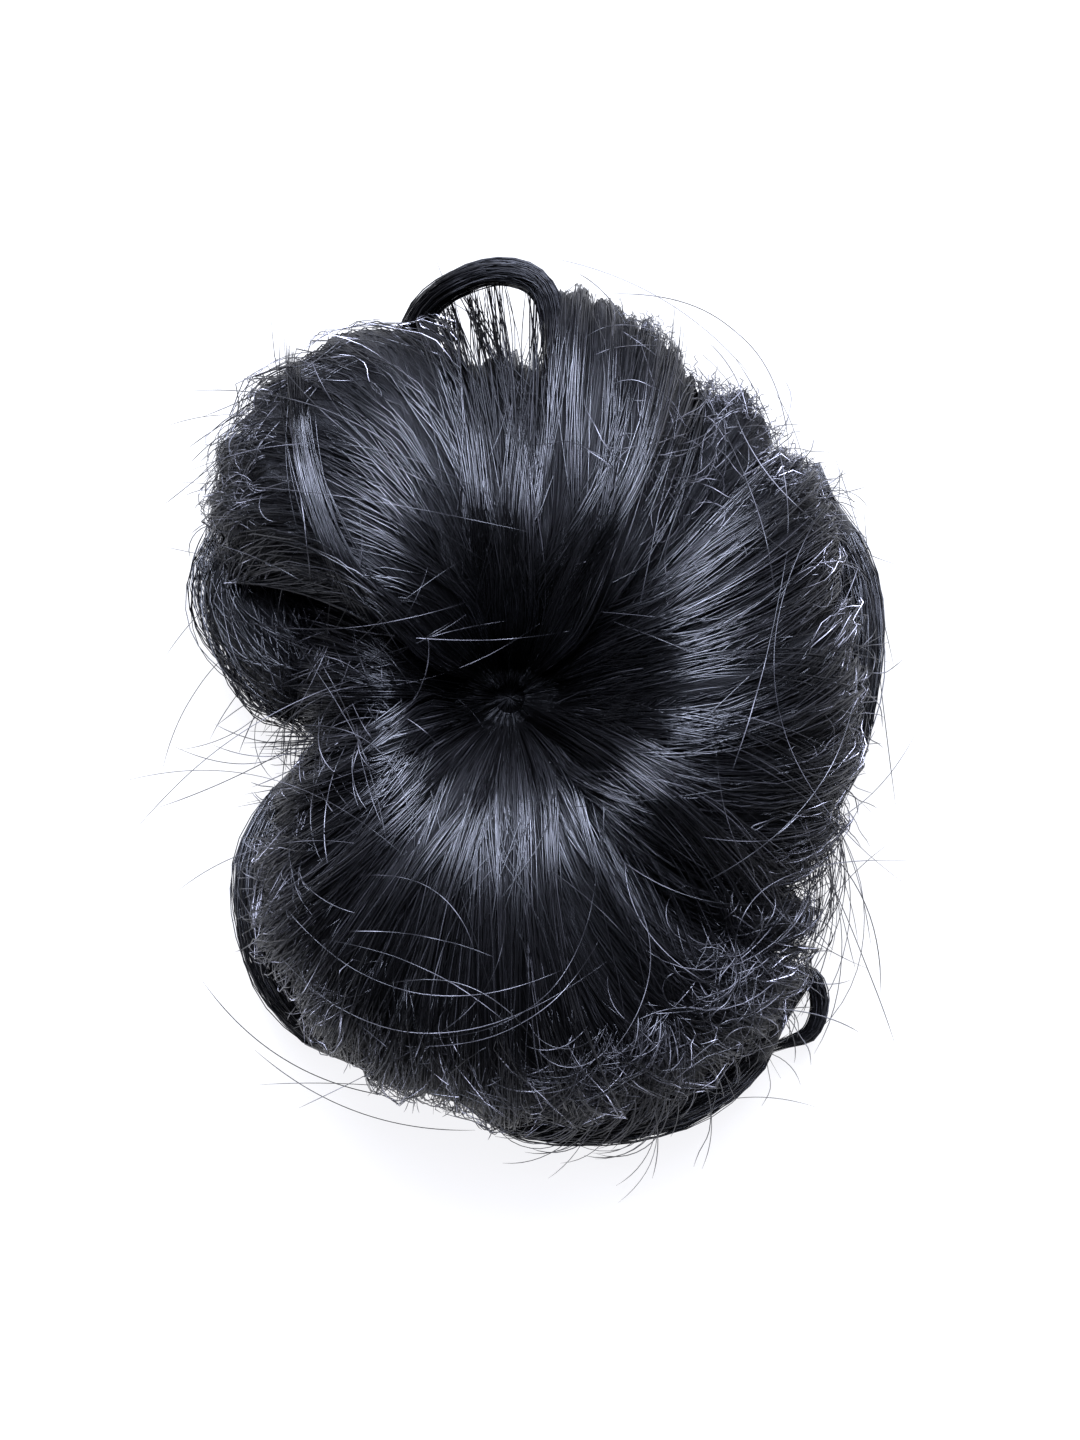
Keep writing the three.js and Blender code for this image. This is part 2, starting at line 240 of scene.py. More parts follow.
LOCK_NAMES = list(LOCKS)


def smooth(low, high, value):
    share = np.clip((value - low) / (high - low), 0, 1)
    return share * share * (3 - 2 * share)


def crease(index, out):
    turn_round = 360 * (index // len(LOCK_NAMES))
    row = LOCKS[LOCK_NAMES[index % len(LOCK_NAMES)]]
    share = out / RIM
    angle = row["pit"] * (1 - share) * (1 - 2 * share) + row["half"] * 4 * share * (1 - share)
    return np.radians(angle + row["rim"] * share * (2 * share - 1) + turn_round)


def lock_size(index, across):
    """Reach, crest and fall of a lock at a share of the way from its first crease to its second."""
    row, next_row = LOCKS[LOCK_NAMES[index]], LOCKS[LOCK_NAMES[(index + 1) % len(LOCK_NAMES)]]
    inside = np.clip(across, 0, 1)
    depth = row["depth"] + (next_row["depth"] - row["depth"]) * inside
    dip = (1 - np.sqrt(1 - (2 * inside - 1) ** 2)) * depth
    groove = GROOVE * (1 - np.cos(2 * np.pi * row["bundles"] * inside)) / 2
    bulge = row["reach_middle"] - (row["reach"] + row["reach_after"]) / 2
    reach = row["reach"] + (row["reach_after"] - row["reach"]) * inside
    reach = RIM * (reach + 4 * bulge * inside * (1 - inside)) * (1 - CREASE_TUCK * dip) - groove
    crest = row["crest"] + (row["crest_after"] - row["crest"]) * inside
    crest = CROWN * crest * (1 - CREASE_DROP * dip) - groove
    return reach, crest, row["fall"] + (next_row["fall"] - row["fall"]) * inside


def lock_width(index):
    """Width of a lock between its creases, half way out."""
    return float(crease(index + 1, MID_OUT) - crease(index, MID_OUT)) * MID_OUT


def relief(index, across, turn):
    """How far the skin lies below the smooth form: clumps of strands with a nick between each two."""
    clump = across * lock_width(index) / CLUMP_WIDTH + 0.3 * np.sin(2.1 * turn + 5 * across) + 0.4 * index
    nick = 1 - np.abs(np.sin(np.pi * (clump + 0.25 * np.sin(2.3 * clump)))) ** 0.7
    depth = CLUMP_DEPTH * smooth(0.2, 1.7, turn) * (0.65 + 0.35 * np.sin(2.6 * clump + index))
    wave = CLUMP_WAVE * np.sin(5.5 * turn + 2.4 * clump + 1.3 * np.sin(clump))
    return depth * nick + wave * smooth(0.1, 0.6, turn)


def pit_edge(angle):
    return 1 / np.hypot(np.cos(angle) / PIT_LONG, np.sin(angle) / PIT_WIDE)


def hollow_top(out):
    dome = np.sqrt(1 - np.minimum(1, out / HOLLOW) ** 2)
    return BAND_TOP + (HOLLOW_HEIGHT - BAND_TOP) * dome


def to_space(out, angle, height):
    return np.stack([pit.x + out * np.cos(angle), pit.y + out * np.sin(angle), height], -1)


def on_lock(name, across, turn, lift):
    """Points on a lock: across runs from crease to crease, and turn from the throat -1 past the pit's
    edge 0, the crest 1 and the rim 2 to the underside 3."""
    index = LOCK_NAMES.index(name)
    root = max(THROAT, LOCKS[name]["root"] * HOLLOW)
    reach, crest, drop = lock_size(index, across)
    lift = lift - relief(index, across, turn)
    reach, crest = reach + lift, crest + lift
    inward = np.clip(1 - turn, 0, 1) ** PIT_FULLNESS
    fall = np.clip(turn - 1, 0, 1) * np.pi / 2
    tuck = np.clip(turn - 2, 0, 1) * np.pi / 2
    middle = crease(index, AIM_OUT) * (1 - across) + crease(index + 1, AIM_OUT) * across
    edge = pit_edge(middle)
    share = CREST_PLACE * (1 - inward) + (1 - CREST_PLACE) * np.sin(fall) ** RIM_FULLNESS
    out = edge + (reach - edge) * (share - (1 - UNDERCUT) * (1 - np.cos(tuck)))
    out = np.maximum(out + (edge - THROAT) * np.clip(turn, -1, 0), root)
    height = 1 - drop * inward**2 - (1 - RIM_RISE) * (1 - np.cos(fall))
    height = (height - RIM_RISE * np.sin(tuck)) * crest
    roof = np.where(out < BAND_CLEAR, hollow_top(out) + ROOT_THICK + lift, 0)
    height = np.maximum(height, np.where(turn < 2, roof, 0))
    gap = CREASE_GAP / 2 / out
    start, stop = crease(index, out) + gap, crease(index + 1, out) - gap
    return to_space(out, start + (stop - start) * across, height)


def under_lock(name, across):
    """The underside of a lock, from its rim in past the band and up over the hollow."""
    index = LOCK_NAMES.index(name)
    root = max(THROAT, LOCKS[name]["root"] * HOLLOW)
    turns = np.linspace(0, np.arccos(root / HOLLOW), 9)
    out = np.concatenate([[BAND_CLEAR + 0.001, BAND_CLEAR], HOLLOW * np.cos(turns)])
    height = np.concatenate([[0, BAND_TOP], BAND_TOP + (HOLLOW_HEIGHT - BAND_TOP) * np.sin(turns)])
    gap = CREASE_GAP / 2 / out
    start, stop = crease(index, out) + gap, crease(index + 1, out) - gap
    return to_space(out, start + (stop - start) * across, height)


def mesh_piece(name, points, faces, uv, material):
    mesh = bpy.data.meshes.new(name)
    mesh.from_pydata(points, [], faces)
    layer = mesh.uv_layers.new(name=STRAND_MAP)
    corners = np.zeros(len(mesh.loops), np.int32)
    mesh.loops.foreach_get("vertex_index", corners)
    layer.uv.foreach_set("vector", np.asarray(uv, np.float32)[corners].ravel())
    mesh.polygons.foreach_set("use_smooth", np.ones(len(mesh.polygons), bool))
    mesh.materials.append(material)
    mesh.update()
    piece = bpy.data.objects.new(name, mesh)
    bpy.context.collection.objects.link(piece)
    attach(piece, "root")
    return piece


def closed_loft(name, rings, widths, material):
    """A closed skin over rings of points, with streaks that run round each ring where widths is its UV."""
    sides = len(rings[0])
    faces = []
    for ring in range(len(rings) - 1):
        for side in range(sides):
            here, beside = ring * sides + side, ring * sides + (side + 1) % sides
            faces.append((here, beside, beside + sides, here + sides))
    end = (len(rings) - 1) * sides
    faces.append(tuple(range(sides))[::-1])
    faces.append(tuple(end + side for side in range(sides)))
    return mesh_piece(name, np.concatenate(rings), faces, widths, material)


for lock in LOCK_NAMES:
    bundles = LOCKS[lock]["bundles"]
    stations = np.linspace(0, 1, STATIONS_PER_BUNDLE * bundles + 1)
    turns = np.concatenate([[-1, -0.5], np.linspace(0, 3, TURN_STEPS)])
    rings = [
        np.concatenate([on_lock(lock, np.full(len(turns), across), turns, 0), under_lock(lock, across)])
        for across in stations
    ]
    along = np.linspace(0, 1, len(rings[0]))
    uv = [(across * bundles / FULL_BUNDLES, share) for across in stations for share in along]
    core = closed_loft(lock + "_core", rings, uv, packed_fibre)
    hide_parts(lock)


# Strands of the rolled locks. The outer hair of each lock lies in thin wisps, a dozen fibres each, that
# leave the pit together, drift a little to one side and spread out before they tuck under.
OVERHANG = 0.0015  # of a wisp past its lock's crease
HAIR_SINK = 0.0002  # of the lowest fibres into the lock
ROOT_DIVE = 0.006  # of the roots into the throat
ROOT_TURN = 0.1  # of the lock, up to which the roots dive
TABLE_GAP = 0.00005  # of the lowest fibre over the table
# Thinnest and thickest fibre of a kind.
HAIR_WIDTH = (0.00014, 0.00026)
GLOSSY_WIDTH = (0.00015, 0.00031)
FINE_WIDTH = (0.00012, 0.0002)


def strands(name, paths, width, seed, fibre):
    """One mesh of closed three-sided fibres along paths, an array of strand, point and coordinate."""
    count, steps = paths.shape[:2]
    rng = np.random.default_rng(seed)
    along = np.gradient(paths, axis=1)
    along /= np.maximum(np.linalg.norm(along, axis=2, keepdims=True), 1e-12)
    side = np.cross(along[:, 0], rng.normal(size=(count, 3)))
    frames = []
    for step in range(steps):
        side = side - (side * along[:, step]).sum(1, keepdims=True) * along[:, step]
        side /= np.maximum(np.linalg.norm(side, axis=1, keepdims=True), 1e-12)
        frames.append(side)
    side = np.stack(frames, 1)
    up = np.cross(along, side)
    share = np.linspace(0, 1, steps)
    taper = np.minimum(1, 0.25 + 0.75 * np.minimum(share, 1 - share) * 8)
    widths = rng.uniform(width[0], width[1], count).reshape(-1, 1)
    radius = (widths / 2 * taper)[..., None]
    ring = [
        paths + radius * (side * np.cos(turn) + up * np.sin(turn))
        for turn in np.radians([0, 120, 240])
    ]
    points = np.stack(ring, 2).reshape(-1, 3)
    points[:, 2] = np.maximum(points[:, 2], TABLE_GAP)
    base = (np.arange(count)[:, None, None] * steps + np.arange(steps - 1)[None, :, None]) * 3
    here = base + np.arange(3)
    beside = base + (np.arange(3) + 1) % 3
    quads = np.stack([here, beside, beside + 3, here + 3], -1).reshape(-1, 4)
    starts = np.arange(count)[:, None] * steps * 3
    caps = np.concatenate([starts + [[2, 1, 0]], starts + (steps - 1) * 3 + [[0, 1, 2]]])
    tone = rng.uniform(0, 0.96, count)
    u = tone[:, None, None] + np.array([0, 0.01, 0.02]) + np.zeros((1, steps, 1))
    v = share[None, :, None] + np.zeros((count, 1, 3))
    uv = np.stack([u, v], -1).reshape(-1, 2)
    return mesh_piece(name, points, quads.tolist() + caps.tolist(), uv, fibre)


def wisp_paths(name, seed, wisps, per_wisp, spread, drift, lift, wave, start, stop, steps):
    """Paths over a lock from one turn to another. Spread is how far a wisp's fibres lie apart, drift how
    far it strays aside, lift how low and how high it lies over the lock, and wave how far it rises and
    falls, all in metres."""
    rng = np.random.default_rng(seed)
    wide = lock_width(LOCK_NAMES.index(name))
    count = wisps * per_wisp
    share = np.linspace(0, 1, steps)

    def each(low, high):
        return np.repeat(rng.uniform(low, high, wisps), per_wisp)[:, None]

    swept = LOCKS[name]["sweep"] / wide
    middle = np.repeat((np.arange(wisps) + rng.uniform(0, 1, wisps)) / wisps, per_wisp)[:, None]
    middle = middle * (1 + abs(swept)) - max(swept, 0)
    scatter = rng.normal(0, 1, (count, 1))
    pinch = 0.5 + 0.5 * np.sin(np.pi * share * each(1.2, 2.6) + each(0, 6))
    sway = each(-1, 1) * np.sin(np.pi * share * each(0.6, 1.6) + each(0, 6))
    own = rng.normal(0, 0.35, (count, 1)) * np.sin(np.pi * share * rng.uniform(0.8, 2, (count, 1)))
    begin = start + 0.5 * rng.uniform(0, 1, (count, 1)) ** 2
    end = stop - each(0, 0.5) - rng.uniform(0, 0.5, (count, 1)) ** 1.5
    turn = begin + (end - begin) * share
    sweep = LOCKS[name]["sweep"] * smooth(0.4, 2.3, turn)
    sweep = sweep * (each(0.6, 1.3) + rng.normal(0, 0.12, (count, 1)))
    across = middle + (scatter * spread * pinch + (sway + own) * drift + sweep) / wide
    over = OVERHANG / wide
    across = np.clip(across, -over, 1 + over)
    height = each(*lift) + rng.uniform(0, 0.0003, (count, 1))
    height = height + each(0, wave) * np.sin(turn * each(2, 6) + each(0, 6))
    height = height + rng.uniform(0, wave / 2, (count, 1)) * np.sin(turn * rng.uniform(3, 9, (count, 1)))
    height = height * (0.3 + 0.7 * np.sin(np.pi * np.clip(turn / 3, 0, 1)))
    paths = on_lock(name, across, turn, np.maximum(height, -HAIR_SINK))
    angle = np.arctan2(paths[..., 1] - pit.y, paths[..., 0] - pit.x)
    aside = each(-1, 1) * 1.2 * drift + rng.normal(0, spread, (count, 1))
    aside = aside * smooth(-0.2, 0.5, turn) * (1 - smooth(0.4, 1.4, turn))
    paths[..., 2] -= ROOT_DIVE * np.clip(ROOT_TURN - turn, 0, 1)
    paths[..., 0] -= np.sin(angle) * aside
    paths[..., 1] += np.cos(angle) * aside
    return paths


# Each lock's hair lies in three layers: a dull lower one, the glossy wisps and single strays. The lock
# behind the upper right one is in its shade and has few loose wisps.
LOWER_WISP, UPPER_WISP, STRAY_WISP = 0.0011, 0.002, 0.0014  # of the lock's width to each wisp
SHADED_SHARE = 0.2
for place, lock in enumerate(LOCK_NAMES):
    wide = lock_width(place)
    loose = SHADED_SHARE if lock == "lock_right_back" else 1
    lower = wisp_paths(
        lock, 100 + place, wisps=int(wide / LOWER_WISP), per_wisp=9, spread=0.0007, drift=0.001,
        lift=(0, 0.0003), wave=0.0002, start=-0.9, stop=2.9, steps=14)
    upper = wisp_paths(
        lock, 200 + place, wisps=max(1, int(loose * wide / UPPER_WISP)), per_wisp=12, spread=0.0005,
        drift=0.004, lift=(0.0004, 0.002), wave=0.0006, start=-0.9, stop=2.7, steps=15)
    stray = wisp_paths(
        lock, 300 + place, wisps=int(wide / STRAY_WISP), per_wisp=1, spread=0.001, drift=0.009,
        lift=(0.001, 0.0022), wave=0.0008, start=-0.9, stop=2.5, steps=14)
    strands(lock + "_under_strands", lower, HAIR_WIDTH, 400 + place, deep_fibre)
    strands(lock + "_strands", upper, GLOSSY_WIDTH, 430 + place, loose_fibre)
    strands(lock + "_stray_strands", stray, FINE_WIDTH, 460 + place, loose_fibre)

# Fringe. Where the locks roll under, their outermost fibres have come apart a little and hang free, and
# the bright table lights them from below; their ends are also painted light as glints. Each number is
# the wisps in a millimetre of the lock's width.
FRINGE = {
    "lock_bottom_left": 0.4, "lock_bottom": 0.8, "lock_bottom_right": 0.7, "lock_lower_right": 0.4,
    "lock_right_low": 0.5, "lock_right_high": 0.5, "lock_upper_left": 0.35,
}
# Painted glints: the light tone, up to 0.65, on the hanging ends; the long root stretch keeps their start
# dark as painted shade.
fringe_glint_fibre = black_fibre(
    "black_fibre_fringe_glints", streaks=60, streak_depth=0, shine=0.36, gloss_range=(0.35, 0.2),
    root=(0.15, 0.6), tones=[(0.46, 0.001), (0.54, 0.02), (0.6, 0.65)])
for place, (lock, crowd) in enumerate(FRINGE.items()):
    wide = lock_width(LOCK_NAMES.index(lock))
    paths = wisp_paths(
        lock, 470 + place, wisps=int(crowd * wide * 1000), per_wisp=6, spread=0.0009, drift=0.003,
        lift=(0.0008, 0.0026), wave=0.001, start=1.35, stop=2.45, steps=9)
    strands(lock + "_fringe", paths, (0.00012, 0.00022), 480 + place, fringe_glint_fibre)

# Pit. The roots of all the locks cross over the throat and dive into it, so that no light comes through
# from below.
ROOTS = 420
ROOT_HEIGHT = 0.0175
ROOT_RISE = 0.006
rng = np.random.default_rng(500)
start = rng.uniform(0, 2 * np.pi, ROOTS)
stop = start + np.pi + rng.normal(0, 0.7, ROOTS)
share = np.linspace(-1, 1, 9)[None, :]
far = rng.uniform(0.6, 1.1, (ROOTS, 1))
angle = np.where(share < 0, start[:, None], stop[:, None])
out = np.abs(share) * pit_edge(angle) * far
height = ROOT_HEIGHT + rng.uniform(0, 0.003, (ROOTS, 1)) + ROOT_RISE * np.abs(share) ** 3
strands("pit_roots", to_space(out, angle, height), FINE_WIDTH, 501, deep_fibre)


# Rim locks. Thinner tresses of the same fibre are laid round the outside, under the rolled locks, and
# hide where those tuck in. One of them stands up in an open arch and one ends in a small curl.
TRESS_RINGS = 60
TRESS_SIDES = 24
TRESS_CORE = 0.44  # half width and half height of the core, as a share of the tress
HAIR_STEPS = 18
LEAD = 0.12  # how far the fibres run on past the core's ends, as a share of its length

# Each row has the tress's width, height, the share of these left at its ends, and its number of fibres.
# Then come the angle, the distance out as a share of the rim, and the height of its underside as a share
# of the crown, point by point.
RIM_LOCKS = {
    "rim_far_right": (0.008, 0.015, 0.35, 240, [
        (33, 0.94, 0.1), (26, 0.925, 0.04), (17, 0.91, 0), (6, 0.875, 0), (-5, 0.85, 0),
        (-15, 0.83, 0), (-24, 0.8, 0)]),
    "rim_bottom": (0.008, 0.015, 0.35, 340, [
        (262, 1, 0), (271, 1.055, 0), (282, 1.08, 0), (293, 1.1, 0), (303, 1.09, 0), (311, 1.05, 0)]),
    "rim_left": (0.008, 0.015, 0.35, 260, [
        (198, 0.53, 0.04), (205, 0.63, 0), (213, 0.75, 0), (222, 0.84, 0), (231, 0.92, 0),
        (240, 0.97, 0), (248, 0.99, 0)]),
    "roll_end_left": (0.018, 0.025, 0.75, 360, [
        (147, 0.75, 0), (156, 0.71, 0), (164, 0.625, 0), (172, 0.53, 0), (179, 0.46, 0)]),
    "loop_top": (0.0036, 0.009, 0.8, 240, [
        (108, 0.89, 0.3), (103, 0.985, 0.36), (98, 1.035, 0.4), (92.5, 1.06, 0.42),
        (87.5, 1.045, 0.44), (84.5, 0.99, 0.46), (83, 0.88, 0.48)]),
    "curl_lower_right": (0.0026, 0.004, 0.5, 70, [
        (308, 0.97, 0.1), (314, 0.985, 0.1), (317, 1.035, 0.09), (315.5, 1.1, 0.08),
        (312, 1.14, 0.07), (308.5, 1.12, 0.06)]),
}


def curve_through(points, steps):
    """A smooth path of that many points through a few, by Catmull-Rom, over any leading axes."""
    points = np.asarray(points, float)
    first = 2 * points[..., :1, :] - points[..., 1:2, :]
    last = 2 * points[..., -1:, :] - points[..., -2:-1, :]
    points = np.concatenate([first, points, last], -2)
    place = np.linspace(0, points.shape[-2] - 3 - 1e-9, steps)
    piece = place.astype(int)
    t = (place - piece)[:, None]
    a, b, c, d = (points[..., piece + step, :] for step in range(4))
    return b + t * (c - a) / 2 + t**2 * (a - 2.5 * b + 2 * c - d / 2) + t**3 * (1.5 * (b - c) + (d - a) / 2)


def tress_line(points, steps):
    angle, out, lift = np.array(points, float).T
    line = curve_through(to_space(out * RIM, np.radians(angle), lift * CROWN), steps)
    along = np.gradient(line, axis=0)
    left = np.stack([-along[:, 1], along[:, 0], np.zeros(steps)], -1)
    return line, left / np.linalg.norm(left, axis=1, keepdims=True)


for place, (name, (width, height, end_share, count, points)) in enumerate(RIM_LOCKS.items()):
    line, left = tress_line(points, TRESS_RINGS)
    share = np.linspace(0, 1, TRESS_RINGS)
    size = end_share + (1 - end_share) * np.sqrt(np.sin(np.pi * share))
    size = size * np.sqrt(1 - 0.98 * np.abs(2 * share - 1) ** 14)
    turns = np.linspace(0, 2 * np.pi, TRESS_SIDES, endpoint=False)
    rings = []
    for step in range(TRESS_RINGS):
        ring = line[step] + left[step] * (TRESS_CORE * size[step] * width * np.cos(turns))[:, None]
        ring[:, 2] += size[step] * height * (0.5 + TRESS_CORE * np.sin(turns))
        rings.append(ring)
    uv = [
        (side / (2 * TRESS_SIDES), step / TRESS_RINGS)
        for step in range(TRESS_RINGS) for side in range(TRESS_SIDES)
    ]
    core = closed_loft(name + "_core", rings, uv, packed_fibre)
    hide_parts(name)
    rng = np.random.default_rng(600 + place)
    line, left = tress_line(points, HAIR_STEPS)
    lead = np.linspace(-LEAD, 1 + LEAD, HAIR_STEPS)
    line = line + (line[-1] - line[-2]) * (HAIR_STEPS - 1) * np.clip(lead - 1, 0, 1)[:, None]
    line = line + (line[0] - line[1]) * (HAIR_STEPS - 1) * np.clip(-lead, 0, 1)[:, None]
    share = np.clip(lead, 0, 1)
    size = end_share + (1 - end_share) * np.sqrt(np.sin(np.pi * share))
    turn = rng.uniform(0, 2 * np.pi, (count, 1)) + rng.normal(0, 1.1, (count, 1)) * lead
    far = 0.5 + rng.normal(0, 0.05, (count, 1)) + 0.08 * np.sin(7 * lead + rng.uniform(0, 6, (count, 1)))
    paths = line[None] + left[None] * (far * size * width * np.cos(turn))[..., None]
    paths[..., 2] += size * height * (0.5 + far * np.sin(turn))
    fibre = deep_fibre if name == "loop_top" else loose_fibre
    strands(name + "_strands", paths, HAIR_WIDTH, 700 + place, fibre)

# Veil of the open arch. Sparse fibres hang in clumps from the arched tress at the top down to the lock
# behind it, caught between the two, and the white table shows between them.
CLUMPS = [0.04, 0.1, 0.13, 0.2, 0.27, 0.31, 0.38, 0.42, 0.49, 0.53, 0.72, 0.83, 0.9, 0.96]
PER_CLUMP = 15
ARCH_STEPS = 40
rng = np.random.default_rng(800)
line, left = tress_line(RIM_LOCKS["loop_top"][4], ARCH_STEPS + 1)
place = np.repeat(CLUMPS, PER_CLUMP)
count = len(place)
slant = np.repeat(rng.normal(-0.04, 0.12, len(CLUMPS)), PER_CLUMP)
step = np.clip(place * ARCH_STEPS + rng.normal(0, 0.45, count), 0, ARCH_STEPS).astype(int)
top = line[step] + [0, 0, 0.004] + rng.normal(0, 0.0006, (count, 3))
across = np.clip(1 - place + slant + rng.normal(0, 0.035, count), 0.02, 0.98)
turn = rng.uniform(1.1, 1.5, count)
seat = on_lock("lock_upper_middle", across, turn, 0.0005 + rng.uniform(0, 0.001, count))
seat_in = on_lock("lock_upper_middle", across, turn - 0.5, 0.0004 + rng.uniform(0, 0.001, count))
bend = (top + seat) / 2 + rng.normal(0, 0.0008, top.shape) + [0, 0, 0.0035]
veil = curve_through(np.stack([top, bend, seat, seat_in], 1), 13)
strands("loop_veil", veil, HAIR_WIDTH, 801, deep_fibre)

# Frizz and curls. Short and broken fibres have worked loose from the locks. They stand up at the rims
# and in the creases and curl at their tips, and a few long ones fly away from the edge.
FRIZZ_SLOPE = 1.4  # how steeply frizz may hang down
LONG_FRIZZ = 12  # mm, from which a fibre gets more points

# Each patch has its number of fibres, the angles and the distances out between which they start (as a
# share of the local reach), their length in mm, their heading from straight outward and its spread in
# degrees, how sharply they bend and its spread (turns per metre), their crimp in degrees, and their
# height in metres.
FRIZZ_COLUMNS = (
    "count", "first", "last", "near", "far", "length", "heading", "heading_spread", "bend",
    "bend_spread", "crimp", "lift",
)
FRIZZ = {
    "frizz_upper_right": (460, 36, 72, 0.965, 1.005, 4, 0, 65, 0, 40, 50, 0.001),
    "tangle_right_back": (75, 42, 61, 0.6, 0.92, 15, 0, 80, 0, 24, 8, 0.003),
    "ends_right_high": (100, 28, 45, 0.86, 0.97, 7, -6, 14, -14, 16, 8, 0.002),
    "curls_right_high": (70, 20, 34, 0.92, 0.99, 8, -50, 40, -40, 20, 0, 0.003),
    "tips_far_right": (60, -24, 12, 0.86, 0.97, 9, 20, 40, 10, 25, 8, 0.002),
    "veil_lower_right": (60, 334, 346, 0.86, 0.98, 34, -48, 12, -6, 2.5, 0, 0.004),
    "frizz_lower_right": (70, 300, 332, 0.75, 1.0, 15, 10, 60, -5, 16, 8, 0.004),
    "curls_lower_right": (130, 298, 320, 0.8, 1.0, 14, 20, 80, -22, 16, 0, 0.003),
    "tips_bottom": (500, 205, 298, 0.85, 0.96, 5, -4, 22, 0, 26, 6, 0.002),
    "swirl_bottom": (260, 281, 298, 0.78, 0.93, 19, -14, 16, -16, 4, 0, 0.0035),
    "tips_left": (70, 196, 226, 0.8, 0.96, 7, 10, 40, 10, 20, 8, 0.0015),
    "curls_left": (130, 130, 153, 0.86, 0.98, 8, 30, 30, 42, 12, 0, 0.003),
    "crossing_notch": (56, 150, 192, 0.5, 0.9, 19, 30, 90, 2, 7, 0, 0.005),
    "veil_notch": (50, 150, 166, 0.8, 0.93, 19, 78, 10, 4, 2, 0, 0.002),
    "frizz_top_left": (36, 112, 135, 0.9, 0.98, 16, 80, 10, 5, 3, 0, 0.002),
    "flyaways": (50, 0, 360, 0.9, 0.99, 13, 80, 20, 5, 4, 0, 0.003),
}


def hair_height(x, y):
    """Height of the rolled locks' skin over a place in the plan, measured from the pit's axis."""
    out, angle = np.hypot(x, y), np.arctan2(y, x)
    height = np.zeros_like(out)
    for index in range(len(LOCK_NAMES)):
        start, stop = crease(index, out), crease(index + 1, out)
        across = ((angle - start) % (2 * np.pi)) / (stop - start)
        reach, crest, drop = lock_size(index, across)
        edge = pit_edge(angle)
        share = np.clip((out - edge) / (reach - edge), 0, 1)
        inward = np.clip(1 - share / CREST_PLACE, 0, 1)
        outward = np.clip((share - CREST_PLACE) / (1 - CREST_PLACE), 0, 1)
        skin = 1 - drop * inward**2 - (1 - RIM_RISE) * (1 - np.sqrt(1 - outward**SKIN_FULLNESS))
        height = np.where((across < 1) & (out < reach), skin * crest, height)
    return height


def laid_over(plan, lift, slope):
    """Lays paths given in plan over the hair. Each bridges the dips under it, and hangs no steeper than
    the slope."""
    x, y = plan[..., 0], plan[..., 1]
    height = hair_height(x, y)
    run = np.hypot(np.diff(x, axis=1), np.diff(y, axis=1)) * slope
    for step in range(1, height.shape[1]):
        height[:, step] = np.maximum(height[:, step], height[:, step - 1] - run[:, step - 1])
    for step in range(height.shape[1] - 2, -1, -1):
        height[:, step] = np.maximum(height[:, step], height[:, step + 1] - run[:, step])
    for again in range(2):
        inner = (height[:, :-2] + 2 * height[:, 1:-1] + height[:, 2:]) / 4
        height = np.concatenate([height[:, :1], inner, height[:, -1:]], 1)
    return np.stack([pit.x + x, pit.y + y, np.maximum(height + lift, 0.0002)], -1)


def reach_at(angle):
    """How far the rolled locks reach out at an angle."""
    reach = np.zeros_like(angle)
    for index in range(len(LOCK_NAMES)):
        start, stop = crease(index, 0.05), crease(index + 1, 0.05)
        across = ((angle - start) % (2 * np.pi)) / (stop - start)
        reach = np.where(across < 1, lock_size(index, across)[0], reach)
    return reach


def frizz_paths(seed, patch, steps):
    """Paths of the fibres of one patch, without those that would lie on the table beside the hair."""
    rng = np.random.default_rng(seed)
    each = (patch["count"], 1)
    angle = np.radians(rng.uniform(patch["first"], patch["last"], each))
    out = rng.uniform(patch["near"], patch["far"], each) * reach_at(angle)
    share = np.linspace(0, 1, steps)[None, :]
    long = patch["length"] / 1000 * rng.uniform(0.5, 1.4, each)
    way = angle + np.radians(patch["heading"] + rng.normal(0, patch["heading_spread"], each))
    bend = 2 * np.pi * rng.normal(patch["bend"], patch["bend_spread"], each)
    way = way + bend * long * share**1.3
    way = way + np.radians(patch["crimp"]) * np.sin(2 * np.pi * (2.5 * share + rng.uniform(0, 1, each)))
    x = out * np.cos(angle) + np.cumsum(np.cos(way), 1) * long / steps
    y = out * np.sin(angle) + np.cumsum(np.sin(way), 1) * long / steps
    rise = patch["lift"] * rng.uniform(0.2, 1, each) * np.sin(np.pi * (0.15 + 0.7 * share))
    on_hair = hair_height(x, y).max(1) > 0
    return laid_over(np.stack([x, y], -1)[on_hair], rise[on_hair], FRIZZ_SLOPE)


for place, (name, row) in enumerate(FRIZZ.items()):
    patch = dict(zip(FRIZZ_COLUMNS, row))
    steps = 10 if patch["length"] < LONG_FRIZZ else 15
    strands(name, frizz_paths(900 + place, patch, steps), FINE_WIDTH, 950 + place, tip_glint_fibre)

# Crossing strands. Single long fibres and a few thin wisps lie loosely across the locks and stand out
# against them, and some reach past the outline.
CROSSING_SLOPE = 0.85
WISP_SLOPE = 0.9
CROSSING_STEPS = 33
WISP_STEPS = 17

